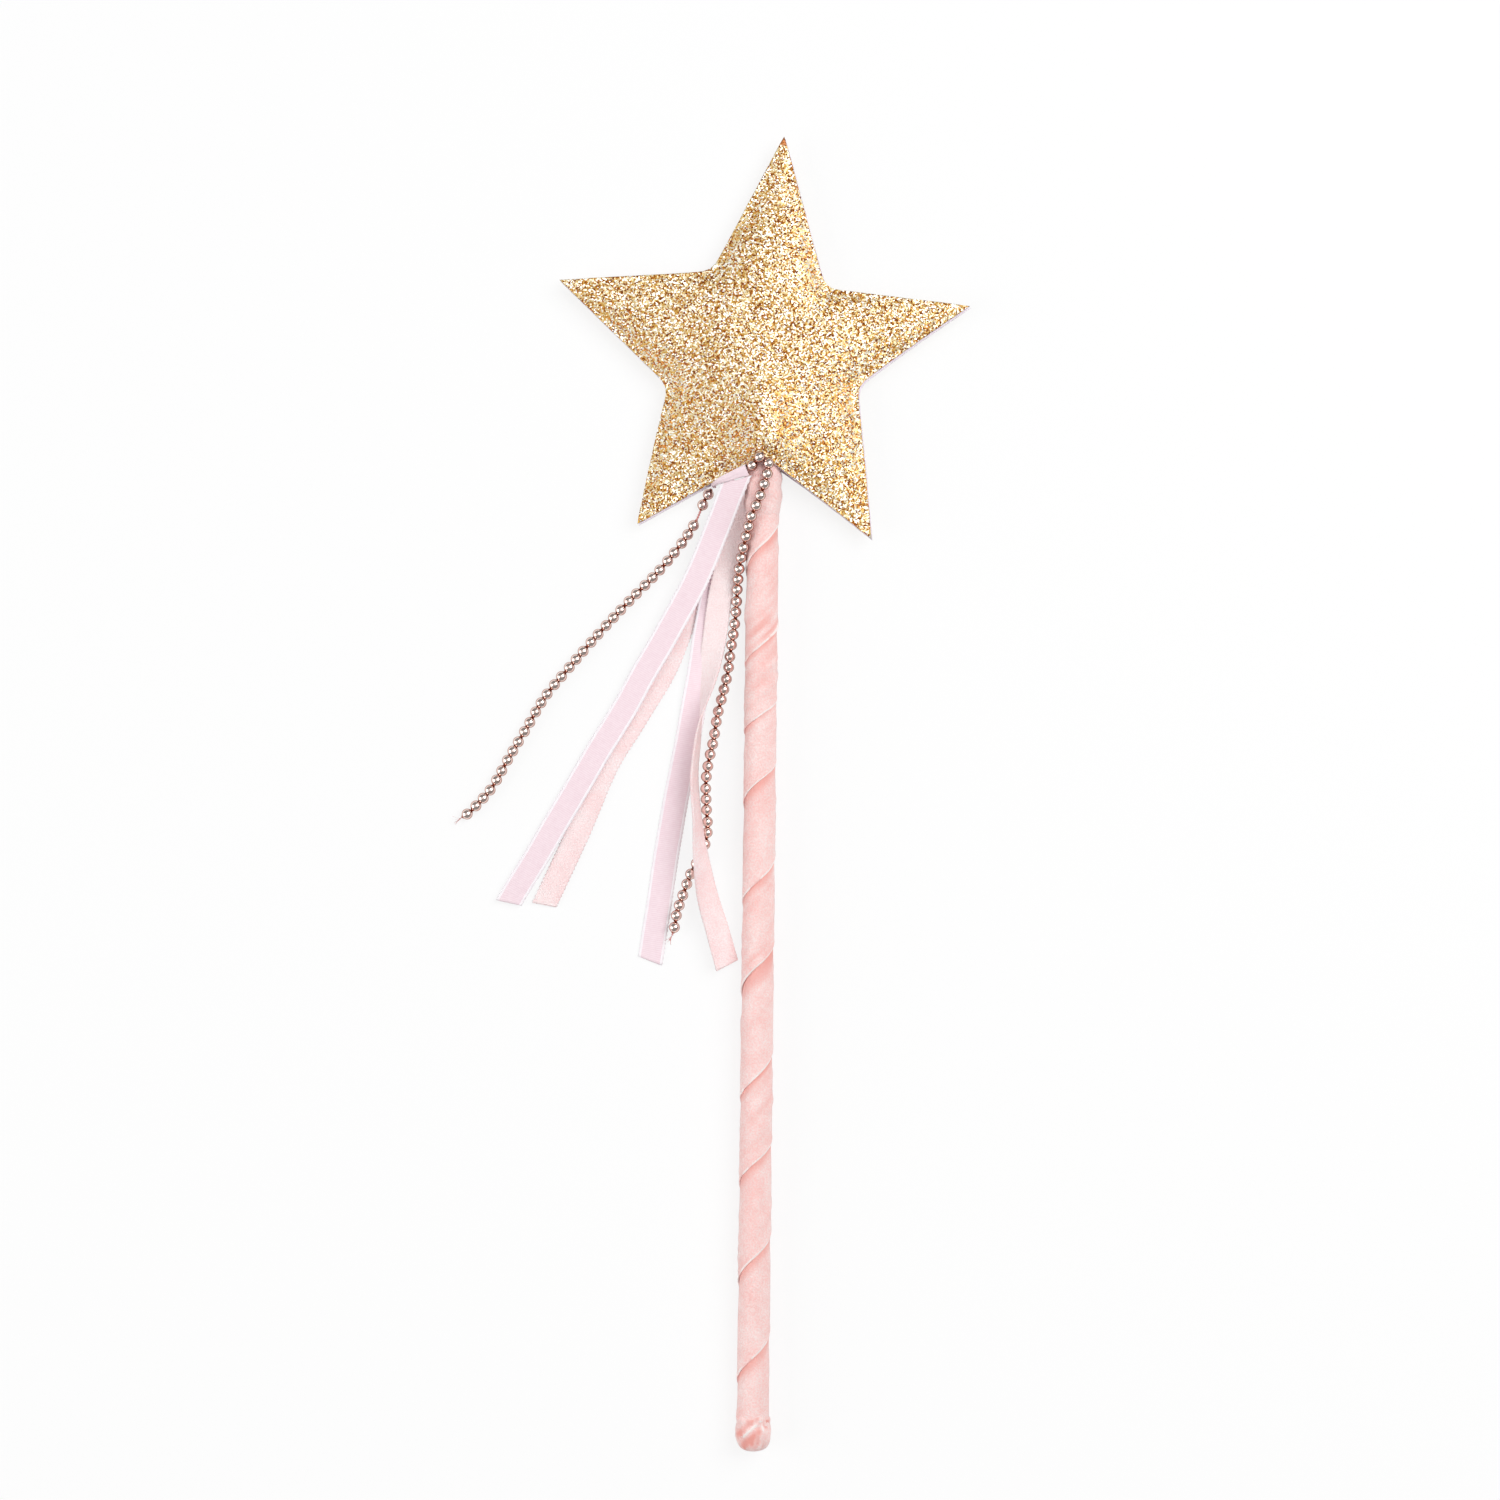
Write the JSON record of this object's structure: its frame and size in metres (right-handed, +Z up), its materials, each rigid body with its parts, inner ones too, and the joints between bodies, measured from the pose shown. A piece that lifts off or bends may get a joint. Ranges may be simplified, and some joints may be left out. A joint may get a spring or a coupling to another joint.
{
  "type": "toy magic wand",
  "caption": "Toy wand for dressing up: a padded glitter fabric star on a velvet-wrapped stick, with ribbon and bead streamers tied below the star.",
  "frame": {"origin": "middle of the wand's length and width, without the streamers, on the surface that it lies on", "axes": "+Y along the stick towards the star's top tip, +Z up out of the star's front face, +X to the right"},
  "size_m": [0.1511, 0.3938, 0.0136],
  "materials": {
    "timber": "plain birch",
    "velvet": "blush velvet ribbon",
    "glitter_fabric": "gold glitter on a pale backing",
    "wadding": "loose fibre",
    "glue": "hot-melt glue",
    "satin": "double-faced satin ribbon",
    "thread": "pink twisted thread",
    "metallised_bead": "rose metallised"
  },
  "bodies": {
    "wand": {"dowel": "timber", "velvet_wrap": "velvet", "end_cap": "velvet", "star_front": "glitter_fabric", "star_back": "glitter_fabric", "star_filling": "wadding", "glue_joint": "glue", "satin_tie": "satin", "velvet_tie": "velvet", "bead_tie_loop": "thread", "bead_tie_thread": "thread", "tie_beads": "metallised_bead"},
    "left_satin": {"satin_left": "satin"},
    "middle_satin": {"satin_middle": "satin"},
    "left_velvet": {"velvet_left": "velvet"},
    "right_velvet": {"velvet_right": "velvet"},
    "left_beads": {"bead_thread_left": "thread", "beads_left": "metallised_bead"},
    "right_beads": {"bead_thread_right": "thread", "beads_right": "metallised_bead"}
  },
  "joints": [
    {"name": "left_satin_swing", "type": "hinge", "parent": "wand", "child": "left_satin", "pos_m": [-0.01085, 0.08963, 0.0077], "axis": [0, 0, 1], "range_deg": [-7, 5]},
    {"name": "left_velvet_swing", "type": "hinge", "parent": "wand", "child": "left_velvet", "pos_m": [-0.00985, 0.08963, 0.0035], "axis": [0, 0, 1], "range_deg": [-8, 0]},
    {"name": "middle_satin_swing", "type": "hinge", "parent": "wand", "child": "middle_satin", "pos_m": [-0.00935, 0.08963, 0.005], "axis": [0, 0, 1], "range_deg": [-5, 0]},
    {"name": "right_velvet_swing", "type": "hinge", "parent": "wand", "child": "right_velvet", "pos_m": [-0.00885, 0.08963, 0.0063], "axis": [0, 0, 1], "range_deg": [-2, 0]},
    {"name": "left_beads_swing", "type": "hinge", "parent": "wand", "child": "left_beads", "pos_m": [-0.01535, 0.09163, 0.0034], "axis": [0, 0, 1], "range_deg": [-12, 5]},
    {"name": "right_beads_swing", "type": "hinge", "parent": "wand", "child": "right_beads", "pos_m": [-0.00885, 0.08963, 0.0063], "axis": [0, 0, 1], "range_deg": [-2, 0]}
  ],
  "couplings": [
    {"joint": "right_beads_swing", "follows": "right_velvet_swing", "ratio": 1}
  ]
}
